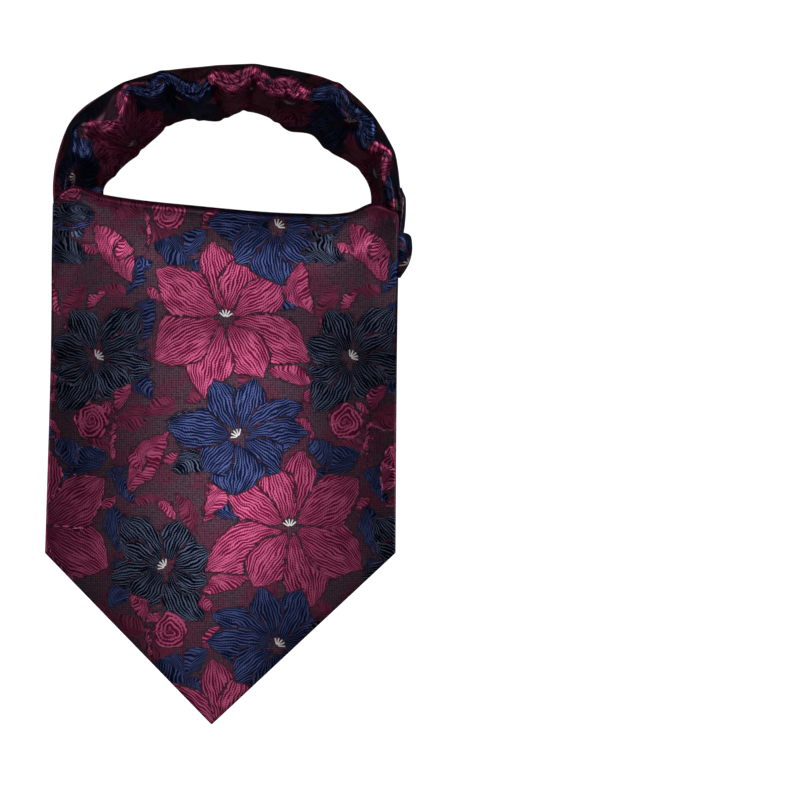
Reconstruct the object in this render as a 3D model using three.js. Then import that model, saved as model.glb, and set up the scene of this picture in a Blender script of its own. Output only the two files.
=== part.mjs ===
// A silk day cravat that lies flat, tied in a half knot: a wide pointed blade on top, the other blade under
// it, and the gathered neck band standing in a loop behind. Millimetres, +Z up, tip towards -Y.
// Each cloth piece is a wall: a surface worked out from a few sizes and short tables, thickened to one side.
import * as THREE from "three";

// Cloth
const CLOTH = 1.8; // face, interlining and back, pressed together
const GAP = 0.3; // between pieces that lie on each other

// Front blade, seen from above
const BLADE_LENGTH = 222; // top fold to tip
const SHOULDER = 149; // top fold to the two corners where the point starts
const FOLD_HALF = 73.3; // half width at the top fold
const SHOULDER_HALF = 75.1; // half width at the shoulders, the widest place
const TIP_HALF = 0.7; // the tip is a little blunt
const FOLD_X = -0.4; // the fold's middle
const SHOULDER_X = -3.2; // the blade leans to the left: the middle at the shoulders
const TIP_X = -6.9; // and the tip
const FOLD_Y = 81; // the fold's nominal place
const LIFT_FADE = 70; // the fold's own curve has gone this far below it
const CROWN = 3; // power of the rounding across the blade
const TUCK = 8; // length that is tucked back under the fold
const ROLL_MIDDLE = 4.5; // radius of the roll at the fold's middle
const ROLL_CORNER = 2.2; // the roll is pressed flatter at the corners

// Where the fold's edge runs from left to right: its lift above the nominal place
const FOLD_LINE = [
  { across: -1, lift: 2 },
  { across: -0.9, lift: 7.6 },
  { across: -0.72, lift: 4.2 },
  { across: -0.17, lift: -0.7 },
  { across: 0.42, lift: -4 },
  { across: 0.72, lift: -3.4 },
  { across: 0.86, lift: 0.4 },
  { across: 1, lift: -3.4 },
];

// Height of the blade's upper side, from the fold down to the tip
const BLADE_ROWS = [
  { below: 0, middle: 21, edge: 29 },
  { below: 20, middle: 20, edge: 24.5 },
  { below: 40, middle: 16.5, edge: 16 },
  { below: 60, middle: 12.6, edge: 8.6 },
  { below: 85, middle: 9.8, edge: 4.2 },
  { below: 120, middle: 8.6, edge: 3 },
  { below: 149, middle: 8, edge: 2.6 },
  { below: 190, middle: 6, edge: 2.5 },
  { below: 222, middle: 2.7, edge: 2.4 },
];

// Under blade, which lies flat on the table: half width from its narrow neck to its shoulders
const UNDER_LENGTH = 208;
const UNDER_ROWS = [
  { below: 20, half: 24 },
  { below: 42, half: 31 },
  { below: 64, half: 54 },
  { below: 90, half: 65 },
  { below: 141, half: 66 },
];

// Neck band, which stands in a loop round this middle
const LOOP_X = -0.2;
const LOOP_Y = 81;
const RIM_RISE = 0.38; // the band is widest outward at this share of its height
const FOOT_IN = 2.6; // its outer foot stands this far inside the rim
const CREST_ROUND = 2.6; // radius of the folded crest
const BELLY_RISE = 0.15; // the inner face bellies inward at this share of the height
const BELLY_OUT = 2.2; // its inner foot stands this far back from the belly
const FACE_HOLLOW = 1.2; // the inner face hollows this far between crest and belly
const OUTER_SWELL = 0.4; // the outer face swells this far between rim and crest

// Sections of the band by turn in degrees, from the hidden left end round the back to the right end:
// how far its outer rim stands from the middle of the loop, its width seen from above, and its height
const BAND_ROWS = [
  { turn: 208, rim: 67.8, width: 18, height: 9 },
  { turn: 198, rim: 72.6, width: 20, height: 12 },
  { turn: 189, rim: 74.2, width: 21.5, height: 15.6 },
  { turn: 180, rim: 74.2, width: 21.6, height: 18.4 },
  { turn: 173, rim: 74.9, width: 22, height: 20.6 },
  { turn: 164, rim: 75.4, width: 25.4, height: 25 },
  { turn: 150, rim: 75.1, width: 29.8, height: 31 },
  { turn: 138, rim: 70.5, width: 27.4, height: 33.5 },
  { turn: 126, rim: 66.2, width: 23.4, height: 34.6 },
  { turn: 113, rim: 62.1, width: 21.2, height: 35 },
  { turn: 98, rim: 59.4, width: 22.2, height: 35 },
  { turn: 79, rim: 60.6, width: 19, height: 35 },
  { turn: 64, rim: 63.6, width: 21.2, height: 35 },
  { turn: 50, rim: 69, width: 26.2, height: 34.4 },
  { turn: 40, rim: 71.5, width: 23.6, height: 33.4 },
  { turn: 29, rim: 73.2, width: 23.4, height: 32 },
  { turn: 17, rim: 74.7, width: 17.6, height: 28.5 },
  { turn: 6, rim: 74.2, width: 13, height: 22.4 },
  { turn: -4, rim: 74.2, width: 13, height: 18.5 },
  { turn: -10, rim: 74.2, width: 13, height: 16 },
];

// Gathers of the band: how far inside the rim its crest runs, one row for each bulge or dip
const GATHERS = [
  { turn: 208, crest: 6 },
  { turn: 176, crest: 6.6 },
  { turn: 159, crest: 7.9 },
  { turn: 153, crest: 5.4 },
  { turn: 147, crest: 10.2 },
  { turn: 131, crest: 2.9 },
  { turn: 122, crest: 5.2 },
  { turn: 116, crest: 2.8 },
  { turn: 107, crest: 9.4 },
  { turn: 94, crest: 4.4 },
  { turn: 88, crest: 6.2 },
  { turn: 78, crest: 3 },
  { turn: 69, crest: 7.2 },
  { turn: 63, crest: 5.6 },
  { turn: 54, crest: 9.4 },
  { turn: 47, crest: 2.8 },
  { turn: 39, crest: 5.4 },
  { turn: 30, crest: 3.3 },
  { turn: 23, crest: 6.9 },
  { turn: 17.5, crest: 3.1 },
  { turn: 11, crest: 5.6 },
  { turn: 3, crest: 4.4 },
  { turn: -10, crest: 4.4 },
];

// Crossing: the half knot's hidden layers, as sections from left to right
const CROSSING_POWER = 2.4;
const CROSSING_ROWS = [
  { x: -60, y: 53, wide: 3, low: 11.6, high: 14 },
  { x: -56, y: 53.5, wide: 11, low: 9.8, high: 15.6 },
  { x: -42, y: 55, wide: 18, low: 8, high: 16.2 },
  { x: -25, y: 54, wide: 20, low: 3.4, high: 16.4 },
  { x: -8, y: 52, wide: 21, low: 2.4, high: 16 },
  { x: 20, y: 51, wide: 21, low: 2.4, high: 15.6 },
  { x: 45, y: 55, wide: 20, low: 2.6, high: 16.2 },
  { x: 62, y: 58, wide: 13, low: 4, high: 15 },
  { x: 69, y: 58.5, wide: 4, low: 8, high: 12 },
];

// Wrap, upper stretch: lies on the outer face of the band's right end
const WRAP_FROM = 5.4; // turn in degrees where its upper edge lies
const WRAP_TO = -10;

// Wrap, lower stretch: a soft turn of cloth open towards the knot, as sections away from the loop
const LOBE_POWER = 2.6;
const LOBE_LOW = 0.3;
const LOBE_ROWS = [
  { y: 67.2, reach: 78.4, inner: 66, high: 18.6 },
  { y: 64.6, reach: 78.8, inner: 66, high: 19 },
  { y: 60, reach: 78.7, inner: 66, high: 18 },
  { y: 55, reach: 77.2, inner: 66, high: 15.6 },
  { y: 49.6, reach: 73.8, inner: 66, high: 11 },
];

// Mesh steps
const BLADE_ACROSS = 20;
const ROLL_STEPS = 7;
const FACE_STEP = 8;
const BAND_STEP = 2.4; // degrees of turn
const UNDER_STEP = 12;
const UNDER_ACROSS = 8;
const CROSSING_STEP = 6.5;
const CROSSING_ROUND = 16;
const LOBE_STEP = 2;
const LOBE_ROUND = 10;

const { clamp, degToRad, lerp, mapLinear, smoothstep } = THREE.MathUtils;
const list = (count, make) => Array.from({ length: count }, (unused, index) => make(index));

// Evenly spaced values from one number to another, both included, no further apart than the step
function span(from, to, step) {
  const pieces = Math.ceil(Math.abs(to - from) / step);
  return list(pieces + 1, (index) => lerp(from, to, index / pieces));
}

// A smooth function of one column of a table from its key column
function track(rows, key, column) {
  const sorted = [...rows].sort((a, b) => a[key] - b[key]);
  const places = sorted.map((row) => row[key]);
  const values = sorted.map((row) => row[column]);
  const curve = new THREE.CubicInterpolant(places, values, 1, new Float64Array(1));
  return (at) => curve.evaluate(clamp(at, places[0], places.at(-1)))[0];
}

// A closed mesh from a grid of outer points and a grid of inner points, joined along their rims
function shell(outer, inner) {
  const rows = outer.length;
  const columns = outer[0].length;
  const index = [];
  const top = (row, column) => row * columns + column;
  const under = (row, column) => rows * columns + top(row, column);
  const quad = (a, b, c, d) => index.push(a, b, c, a, c, d);
  for (let row = 0; row + 1 < rows; row += 1) {
    for (let column = 0; column + 1 < columns; column += 1) {
      quad(top(row, column), top(row, column + 1), top(row + 1, column + 1), top(row + 1, column));
      quad(under(row, column), under(row + 1, column), under(row + 1, column + 1), under(row, column + 1));
    }
    const end = columns - 1;
    quad(top(row, 0), top(row + 1, 0), under(row + 1, 0), under(row, 0));
    quad(top(row, end), under(row, end), under(row + 1, end), top(row + 1, end));
  }
  for (let column = 0; column + 1 < columns; column += 1) {
    const end = rows - 1;
    quad(top(0, column), under(0, column), under(0, column + 1), top(0, column + 1));
    quad(top(end, column), top(end, column + 1), under(end, column + 1), under(end, column));
  }
  const geometry = new THREE.BufferGeometry().setFromPoints([...outer.flat(), ...inner.flat()]);
  geometry.setIndex(index);
  return geometry;
}

// The grid moved out along its own normals; its two end columns can keep their height and stay on the table
function moved(grid, distance, feetStay) {
  const pick = (row, column) =>
    grid[clamp(row, 0, grid.length - 1)][clamp(column, 0, grid[0].length - 1)];
  return grid.map((line, row) =>
    line.map((point, column) => {
      const along = pick(row + 1, column).clone().sub(pick(row - 1, column));
      const across = pick(row, column + 1).clone().sub(pick(row, column - 1));
      const out = across.cross(along).normalize().multiplyScalar(distance).add(point);
      const isFoot = feetStay && (column === 0 || column === line.length - 1);
      return isFoot ? out.setZ(point.z) : out;
    }),
  );
}

// A wall of cloth whose outer side is the grid
function wall(grid, feetStay = false) {
  return shell(grid, moved(grid, -CLOTH, feetStay));
}

const foldLift = track(FOLD_LINE, "across", "lift");
const bladeMiddle = track(BLADE_ROWS, "below", "middle");
const bladeEdge = track(BLADE_ROWS, "below", "edge");

function bladeHalf(below) {
  if (below <= SHOULDER) return mapLinear(below, 0, SHOULDER, FOLD_HALF, SHOULDER_HALF);
  return mapLinear(below, SHOULDER, BLADE_LENGTH, SHOULDER_HALF, TIP_HALF);
}

function bladeCentre(below) {
  if (below <= SHOULDER) return mapLinear(below, 0, SHOULDER, FOLD_X, SHOULDER_X);
  return mapLinear(below, SHOULDER, BLADE_LENGTH, SHOULDER_X, TIP_X);
}

// A point of the blade's upper side, by its share across and its distance below the fold seen from above
function bladeFace(across, below) {
  const lift = foldLift(across) * (1 - smoothstep(below, 0, LIFT_FADE));
  const sag = 1 - Math.abs(across) ** CROWN;
  return new THREE.Vector3(
    bladeCentre(below) + across * bladeHalf(below),
    FOLD_Y + lift - below,
    lerp(bladeEdge(below), bladeMiddle(below), sag),
  );
}

// A point of the rolled top fold, half a turn from its tucked side to its upper side
function bladeRoll(across, turn, tucked) {
  const radius = lerp(ROLL_MIDDLE, ROLL_CORNER, across ** 2);
  const point = bladeFace(across, radius);
  point.y += radius * Math.cos(turn) - tucked;
  point.z += radius * (Math.sin(turn) - 1);
  return point;
}

function frontBlade() {
  const quarter = Math.PI / 2;
  const tucks = [TUCK, TUCK / 2];
  const turns = span(-quarter, quarter, Math.PI / ROLL_STEPS);
  const panel = span(2 * ROLL_MIDDLE, SHOULDER, FACE_STEP);
  const point = span(SHOULDER, BLADE_LENGTH, FACE_STEP).slice(1);
  const places = [
    ...tucks.map((tucked) => (across) => bladeRoll(across, -quarter, tucked)),
    ...turns.map((turn) => (across) => bladeRoll(across, turn, 0)),
    ...[...panel, ...point].map((below) => (across) => bladeFace(across, below)),
  ];
  const columns = span(1, -1, 2 / BLADE_ACROSS);
  return wall(places.map((place) => columns.map(place)));
}

function underBlade() {
  const side = track(UNDER_ROWS, "below", "half");
  const neck = UNDER_ROWS[0];
  const shoulder = UNDER_ROWS.at(-1);
  const half = (below) => {
    if (below <= shoulder.below) return side(below);
    return mapLinear(below, shoulder.below, UNDER_LENGTH, shoulder.half, TIP_HALF);
  };
  const rows = [
    ...span(neck.below, shoulder.below, UNDER_STEP),
    ...span(shoulder.below, UNDER_LENGTH, UNDER_STEP).slice(1),
  ];
  const columns = span(1, -1, 2 / UNDER_ACROSS);
  const place = (below, reach) => new THREE.Vector3(bladeCentre(below) + reach, FOLD_Y - below, CLOTH);
  return wall(rows.map((below) => columns.map((across) => place(below, across * half(below)))));
}

const bandRim = track(BAND_ROWS, "turn", "rim");
const bandWidth = track(BAND_ROWS, "turn", "width");
const bandHeight = track(BAND_ROWS, "turn", "height");
const bandCrest = track(GATHERS, "turn", "crest");

// One section of the band from its outer foot over the crest to its inner foot,
// each point by its distance inside the rim and its height
function bandSection(turn) {
  const width = bandWidth(turn);
  const height = bandHeight(turn);
  const crest = Math.max(bandCrest(turn), CREST_ROUND);
  const centre = height - CREST_ROUND;
  const round = [175, 130, 90, 55, 25].map(degToRad).map((angle) => ({
    inside: crest + CREST_ROUND * Math.cos(angle),
    height: centre + CREST_ROUND * Math.sin(angle),
  }));
  const rim = { inside: 0, height: RIM_RISE * height };
  const belly = { inside: width, height: BELLY_RISE * height };
  const between = (from, to, part, hollow) => ({
    inside: lerp(from.inside, to.inside, part) - hollow,
    height: lerp(from.height, to.height, part),
  });
  return [
    { inside: FOOT_IN, height: 0 },
    rim,
    between(rim, round[0], 0.55, OUTER_SWELL),
    ...round,
    between(round.at(-1), belly, 0.33, FACE_HOLLOW),
    between(round.at(-1), belly, 0.68, FACE_HOLLOW),
    belly,
    { inside: width - BELLY_OUT, height: 0 },
  ];
}

function bandLine(turn) {
  const angle = degToRad(turn);
  return bandSection(turn).map(({ inside, height }) => {
    const reach = bandRim(turn) - inside;
    return new THREE.Vector3(LOOP_X + reach * Math.cos(angle), LOOP_Y + reach * Math.sin(angle), height);
  });
}

function neckBand() {
  const turns = span(BAND_ROWS[0].turn, BAND_ROWS.at(-1).turn, BAND_STEP);
  return wall(turns.map(bandLine), true);
}

function wrapUpper() {
  const outerFace = 4;
  const face = span(WRAP_FROM, WRAP_TO, BAND_STEP).map((turn) => bandLine(turn).slice(0, outerFace));
  const onTable = (point) => point.setZ(Math.max(point.z, 0));
  const lying = (distance) => moved(face, distance, false).map((line) => line.map(onTable));
  return shell(lying(GAP + CLOTH), lying(GAP));
}

const signedPower = (value, power) => Math.sign(value) * Math.abs(value) ** power;

function wrapLower() {
  const columns = ["reach", "inner", "high"].map((column) => track(LOBE_ROWS, "y", column));
  const grid = span(LOBE_ROWS[0].y, LOBE_ROWS.at(-1).y, LOBE_STEP).map((y) => {
    const [reach, inner, high] = columns.map((column) => column(y));
    return span(-Math.PI / 2, Math.PI / 2, Math.PI / LOBE_ROUND).map((angle) => {
      const out = Math.max(Math.cos(angle), 0) ** (2 / LOBE_POWER);
      const rise = signedPower(Math.sin(angle), 2 / LOBE_POWER);
      return new THREE.Vector3(lerp(inner, reach, out), y, lerp(LOBE_LOW, high, (1 + rise) / 2));
    });
  });
  return wall(grid);
}

function crossing() {
  const columns = ["y", "wide", "low", "high"].map((column) => track(CROSSING_ROWS, "x", column));
  const rings = span(CROSSING_ROWS[0].x, CROSSING_ROWS.at(-1).x, CROSSING_STEP).map((x) => {
    const [y, wide, low, high] = columns.map((column) => column(x));
    return list(CROSSING_ROUND, (step) => {
      const angle = (2 * Math.PI * step) / CROSSING_ROUND;
      const side = signedPower(Math.cos(angle), 2 / CROSSING_POWER);
      const rise = signedPower(Math.sin(angle), 2 / CROSSING_POWER);
      return new THREE.Vector3(x, y + (side * wide) / 2, lerp(low, high, (1 + rise) / 2));
    });
  });
  const index = [];
  const at = (ring, step) => ring * CROSSING_ROUND + (step % CROSSING_ROUND);
  for (let step = 0; step < CROSSING_ROUND; step += 1) {
    for (let ring = 0; ring + 1 < rings.length; ring += 1) {
      index.push(at(ring, step), at(ring, step + 1), at(ring + 1, step + 1));
      index.push(at(ring, step), at(ring + 1, step + 1), at(ring + 1, step));
    }
    if (step > 0 && step + 1 < CROSSING_ROUND) {
      const end = rings.length - 1;
      index.push(at(0, 0), at(0, step + 1), at(0, step));
      index.push(at(end, 0), at(end, step), at(end, step + 1));
    }
  }
  const geometry = new THREE.BufferGeometry().setFromPoints(rings.flat());
  geometry.setIndex(index);
  return geometry;
}

const PIECES = [
  { name: "front_blade", make: frontBlade, colour: 0x5a3340 },
  { name: "under_blade", make: underBlade, colour: 0x4a2c38 },
  { name: "neck_band", make: neckBand, colour: 0x3c2f45 },
  { name: "crossing", make: crossing, colour: 0x4a2c38 },
  { name: "wrap_upper", make: wrapUpper, colour: 0x353048 },
  { name: "wrap_lower", make: wrapLower, colour: 0x2a2c48 },
];

const cravat = new THREE.Group();
cravat.name = "silk_cravat";
for (const { name, make, colour } of PIECES) {
  const geometry = make();
  geometry.computeVertexNormals();
  const material = new THREE.MeshStandardMaterial({ color: colour, roughness: 0.5, metalness: 0 });
  const mesh = new THREE.Mesh(geometry, material);
  mesh.name = name;
  cravat.add(mesh);
}

// The origin is the middle of the part's underside
const box = new THREE.Box3().setFromObject(cravat);
const middle = box.getCenter(new THREE.Vector3());
cravat.children.forEach((mesh) => mesh.geometry.translate(-middle.x, -middle.y, -box.min.z));

export default cravat;
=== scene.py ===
# A silk day cravat lying flat, with a floral jacquard weave.
# Sizes in the tables are millimetres, as in the solids.
import math

import bpy
import numpy as np
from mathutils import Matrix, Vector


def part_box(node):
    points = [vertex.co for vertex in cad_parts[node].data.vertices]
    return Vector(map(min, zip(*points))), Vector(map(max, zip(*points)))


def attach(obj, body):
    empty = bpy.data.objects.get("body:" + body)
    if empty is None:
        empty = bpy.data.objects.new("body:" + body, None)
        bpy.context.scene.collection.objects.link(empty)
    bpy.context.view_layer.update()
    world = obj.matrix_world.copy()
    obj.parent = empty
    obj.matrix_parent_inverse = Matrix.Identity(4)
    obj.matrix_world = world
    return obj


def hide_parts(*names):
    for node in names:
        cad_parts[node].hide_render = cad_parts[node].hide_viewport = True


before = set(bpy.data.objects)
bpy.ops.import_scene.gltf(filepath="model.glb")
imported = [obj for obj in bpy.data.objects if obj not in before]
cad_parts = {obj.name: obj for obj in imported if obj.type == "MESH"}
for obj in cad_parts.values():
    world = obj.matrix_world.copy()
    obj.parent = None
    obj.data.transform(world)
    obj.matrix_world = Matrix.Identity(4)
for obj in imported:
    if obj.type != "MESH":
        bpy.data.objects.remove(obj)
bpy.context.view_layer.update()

MM = 0.001

# Cloth
CLOTH = 1.8
EDGE_ROUND = 0.85

# How fine the meshes are
BLADE_COLUMNS = 206
BLADE_STEP = 0.72
EDGE_COLUMNS = np.array([1, 0.998, 0.995])
LAST_INNER_COLUMN = 0.991
UNDER_COLUMNS = 60
UNDER_STEP = 2.4
BAND_TURNS = 700
BAND_COLUMNS = 120
WRAP_TURNS = 60
WRAP_SECTION = 72
WRAP_COLUMNS = 26
LOBE_GRID = (60, 48)
CROSSING_GRID = (90, 64)

# Front blade, seen from above
BLADE_LENGTH = 222
SHOULDER = 149
FOLD_HALF = 73.3
SHOULDER_HALF = 75.1
TIP_HALF = 0.7
FOLD_X = -0.4
SHOULDER_X = -3.2
TIP_X = -6.9
FOLD_Y = 81
LIFT_FADE = 70
CROWN = 3
TUCK = 8
ROLL_MIDDLE = 4.5
ROLL_CORNER = 2.2

FOLD_LINE = [
    {"across": -1, "lift": 2},
    {"across": -0.9, "lift": 7.6},
    {"across": -0.72, "lift": 4.2},
    {"across": -0.17, "lift": -0.7},
    {"across": 0.42, "lift": -4},
    {"across": 0.72, "lift": -3.4},
    {"across": 0.86, "lift": 0.4},
    {"across": 1, "lift": -3.4},
]
BLADE_ROWS = [
    {"below": 0, "middle": 21, "edge": 29},
    {"below": 20, "middle": 20, "edge": 24.5},
    {"below": 40, "middle": 16.5, "edge": 16},
    {"below": 60, "middle": 12.6, "edge": 8.6},
    {"below": 85, "middle": 9.8, "edge": 4.2},
    {"below": 120, "middle": 8.6, "edge": 3},
    {"below": 149, "middle": 8, "edge": 2.6},
    {"below": 190, "middle": 6, "edge": 2.5},
    {"below": 222, "middle": 2.7, "edge": 2.4},
]

# Under blade
UNDER_LENGTH = 208
UNDER_ROWS = [
    {"below": 20, "half": 24},
    {"below": 42, "half": 31},
    {"below": 64, "half": 54},
    {"below": 90, "half": 65},
    {"below": 141, "half": 66},
]

# Neck band
LOOP_X = -0.2
LOOP_Y = 81
RIM_RISE = 0.38
FOOT_IN = 2.6
CREST_ROUND = 2.6
BELLY_RISE = 0.15
BELLY_OUT = 2.2
FACE_HOLLOW = 1.2
OUTER_SWELL = 0.4
CREST_ANGLES = (175, 130, 90, 55, 25)
SWELL_AT = 0.55
HOLLOW_AT = (0.33, 0.68)
FACE_PUFF = 4.2
PUFF_FADE_RIGHT = (8, 28)
PUFF_FADE_LEFT = (6, 22)
FOLD_LEAD = 5
FOLD_SKEW = 0.6
FOLD_FULLNESS = 0.8
# Painted highlight, partly a rose edge line: where the non-metallic rose line runs along the band's outer
# rim (mm of cloth from its widest point), standing in for the light its curled edge catches
RIM_LINE_FROM = -2
RIM_LINE_TO = 3.4

BAND_ROWS = [
    {"turn": 208, "rim": 67.8, "width": 18, "height": 9},
    {"turn": 198, "rim": 72.6, "width": 20, "height": 12},
    {"turn": 189, "rim": 74.2, "width": 21.5, "height": 15.6},
    {"turn": 180, "rim": 74.2, "width": 21.6, "height": 18.4},
    {"turn": 173, "rim": 74.9, "width": 22, "height": 20.6},
    {"turn": 164, "rim": 75.4, "width": 25.4, "height": 25},
    {"turn": 150, "rim": 75.1, "width": 29.8, "height": 31},
    {"turn": 138, "rim": 70.5, "width": 27.4, "height": 33.5},
    {"turn": 126, "rim": 66.2, "width": 23.4, "height": 34.6},
    {"turn": 113, "rim": 62.1, "width": 21.2, "height": 35},
    {"turn": 98, "rim": 59.4, "width": 22.2, "height": 35},
    {"turn": 79, "rim": 60.6, "width": 19, "height": 35},
    {"turn": 64, "rim": 63.6, "width": 21.2, "height": 35},
    {"turn": 50, "rim": 69, "width": 26.2, "height": 34.4},
    {"turn": 40, "rim": 71.5, "width": 23.6, "height": 33.4},
    {"turn": 29, "rim": 73.2, "width": 23.4, "height": 32},
    {"turn": 17, "rim": 74.7, "width": 17.6, "height": 28.5},
    {"turn": 6, "rim": 74.2, "width": 13, "height": 22.4},
    {"turn": -4, "rim": 74.2, "width": 13, "height": 18.5},
    {"turn": -10, "rim": 74.2, "width": 13, "height": 16},
]
GATHERS = [
    {"turn": 208, "crest": 6},
    {"turn": 176, "crest": 6.6},
    {"turn": 159, "crest": 7.9},
    {"turn": 153, "crest": 5.4},
    {"turn": 147, "crest": 10.2},
    {"turn": 131, "crest": 2.9},
    {"turn": 122, "crest": 5.2},
    {"turn": 116, "crest": 2.8},
    {"turn": 107, "crest": 9.4},
    {"turn": 94, "crest": 4.4},
    {"turn": 88, "crest": 6.2},
    {"turn": 78, "crest": 3},
    {"turn": 69, "crest": 7.2},
    {"turn": 63, "crest": 5.6},
    {"turn": 54, "crest": 9.4},
    {"turn": 47, "crest": 2.8},
    {"turn": 39, "crest": 5.4},
    {"turn": 30, "crest": 3.3},
    {"turn": 23, "crest": 6.9},
    {"turn": 17.5, "crest": 3.1},
    {"turn": 11, "crest": 5.6},
    {"turn": 3, "crest": 4.4},
    {"turn": -10, "crest": 4.4},
]

# Half knot
CROSSING_POWER = 2.4
CROSSING_ROWS = [
    {"x": -60, "y": 53, "wide": 3, "low": 11.6, "high": 14},
    {"x": -56, "y": 53.5, "wide": 11, "low": 9.8, "high": 15.6},
    {"x": -42, "y": 55, "wide": 18, "low": 8, "high": 16.2},
    {"x": -25, "y": 54, "wide": 20, "low": 3.4, "high": 16.4},
    {"x": -8, "y": 52, "wide": 21, "low": 2.4, "high": 16},
    {"x": 20, "y": 51, "wide": 21, "low": 2.4, "high": 15.6},
    {"x": 45, "y": 55, "wide": 20, "low": 2.6, "high": 16.2},
    {"x": 62, "y": 58, "wide": 13, "low": 4, "high": 15},
    {"x": 69, "y": 58.5, "wide": 4, "low": 8, "high": 12},
]
WRAP_FROM = 5.4
WRAP_TO = -10
WRAP_TAPER = 4
WRAP_THIN = 0.25
GAP = 0.3
WRAP_CLOTH = (-59.4, 56)
LOBE_CLOTH = (-34.5, 60)
LOBE_POWER = 2.6
LOBE_LOW = 0.3
LOBE_LIP = 1.6
LOBE_LIP_RISE = (11, 17)
LOBE_LIP_FROM = 60
LOBE_ROWS = [
    {"y": 67.2, "reach": 78.4, "inner": 66, "high": 18.6},
    {"y": 64.6, "reach": 78.8, "inner": 66, "high": 19},
    {"y": 60, "reach": 78.7, "inner": 66, "high": 18},
    {"y": 55, "reach": 77.2, "inner": 66, "high": 15.6},
    {"y": 49.6, "reach": 73.8, "inner": 66, "high": 11},
]

# The solids' tables stand on their own origin; the frame tells where it lies in the row
tables_corner = np.array([SHOULDER_X - SHOULDER_HALF, FOLD_Y - BLADE_LENGTH])
SHIFT = np.append(np.array(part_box("front_blade")[0])[:2] / MM - tables_corner, 0)


def lerp(low, high, part):
    return low + (high - low) * part


def smoothstep(value, low, high):
    part = np.clip((value - low) / (high - low), 0, 1)
    return part * part * (3 - 2 * part)


def track(rows, key, column):
    """A smooth function of one column of a table from its key column, the same as the solids use."""
    places, values = np.array(sorted((row[key], row[column]) for row in rows), float).T
    secants = np.diff(values) / np.diff(places)
    slopes = np.concatenate([secants[:1], (secants[1:] + secants[:-1]) / 2, secants[-1:]])

    def smooth(at):
        at = np.clip(at, places[0], places[-1])
        i = np.clip(np.searchsorted(places, at, "right") - 1, 0, len(places) - 2)
        step = places[i + 1] - places[i]
        p = (at - places[i]) / step
        rise = values[i] + (values[i + 1] - values[i]) * p * p * (3 - 2 * p)
        lean = slopes[i] * p * (1 - p) ** 2 - slopes[i + 1] * p * p * (1 - p)
        return rise + step * lean

    return smooth


def joined(*parts):
    return np.stack(np.broadcast_arrays(*parts), axis=-1).astype(float)


# Forms of the blades, in table millimetres

fold_lift = track(FOLD_LINE, "across", "lift")
blade_middle = track(BLADE_ROWS, "below", "middle")
blade_edge = track(BLADE_ROWS, "below", "edge")


def blade_half(below):
    side = lerp(FOLD_HALF, SHOULDER_HALF, below / SHOULDER)
    point = lerp(SHOULDER_HALF, TIP_HALF, (below - SHOULDER) / (BLADE_LENGTH - SHOULDER))
    return np.where(below <= SHOULDER, side, point)


def blade_centre(below):
    side = lerp(FOLD_X, SHOULDER_X, below / SHOULDER)
    point = lerp(SHOULDER_X, TIP_X, (below - SHOULDER) / (BLADE_LENGTH - SHOULDER))
    return np.where(below <= SHOULDER, side, point)


# Soft creases of the front blade: where, which way, and how long, wide and high
CREASE_FADE = 16
CREASES = [
    {"x": -60, "y": 66, "turn": -38, "long": 26, "wide": 8, "high": 0.4},
    {"x": 60, "y": 62, "turn": 216, "long": 24, "wide": 8, "high": 0.4},
    {"x": -30, "y": 62, "turn": -70, "long": 30, "wide": 10, "high": -0.3},
    {"x": 26, "y": 58, "turn": -100, "long": 28, "wide": 10, "high": -0.3},
    {"x": -66, "y": 8, "turn": 84, "long": 40, "wide": 8, "high": 0.4},
    {"x": 62, "y": -18, "turn": 98, "long": 38, "wide": 8, "high": 0.3},
    {"x": -34, "y": -92, "turn": -46, "long": 30, "wide": 7, "high": 0.3},
    {"x": 26, "y": -96, "turn": 226, "long": 30, "wide": 7, "high": 0.3},
    {"x": -8, "y": -28, "turn": 12, "long": 44, "wide": 12, "high": 0.25},
]


def crease_height(x, y):
    height = np.zeros(np.broadcast(x, y).shape)
    for crease in CREASES:
        angle = math.radians(crease["turn"])
        along = (x - crease["x"]) * math.cos(angle) + (y - crease["y"]) * math.sin(angle)
        side = (y - crease["y"]) * math.cos(angle) - (x - crease["x"]) * math.sin(angle)
        reach = (along / crease["long"]) ** 2 + (side / crease["wide"]) ** 2
        height = height + crease["high"] * np.exp(-2 * reach)
    return height


def blade_face(across, below):
    across, below = np.broadcast_arrays(across, below)
    lift = fold_lift(across) * (1 - smoothstep(below, 0, LIFT_FADE))
    sag = 1 - np.abs(across) ** CROWN
    x = blade_centre(below) + across * blade_half(below)
    y = FOLD_Y + lift - below
    return joined(x, y, lerp(blade_edge(below), blade_middle(below), sag))


def blade_roll(across, turn, tucked):
    radius = lerp(ROLL_MIDDLE, ROLL_CORNER, across**2)
    points = blade_face(across, radius)
    points[..., 1] += radius * np.cos(turn) - tucked
    points[..., 2] += radius * (np.sin(turn) - 1)
    return points


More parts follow.
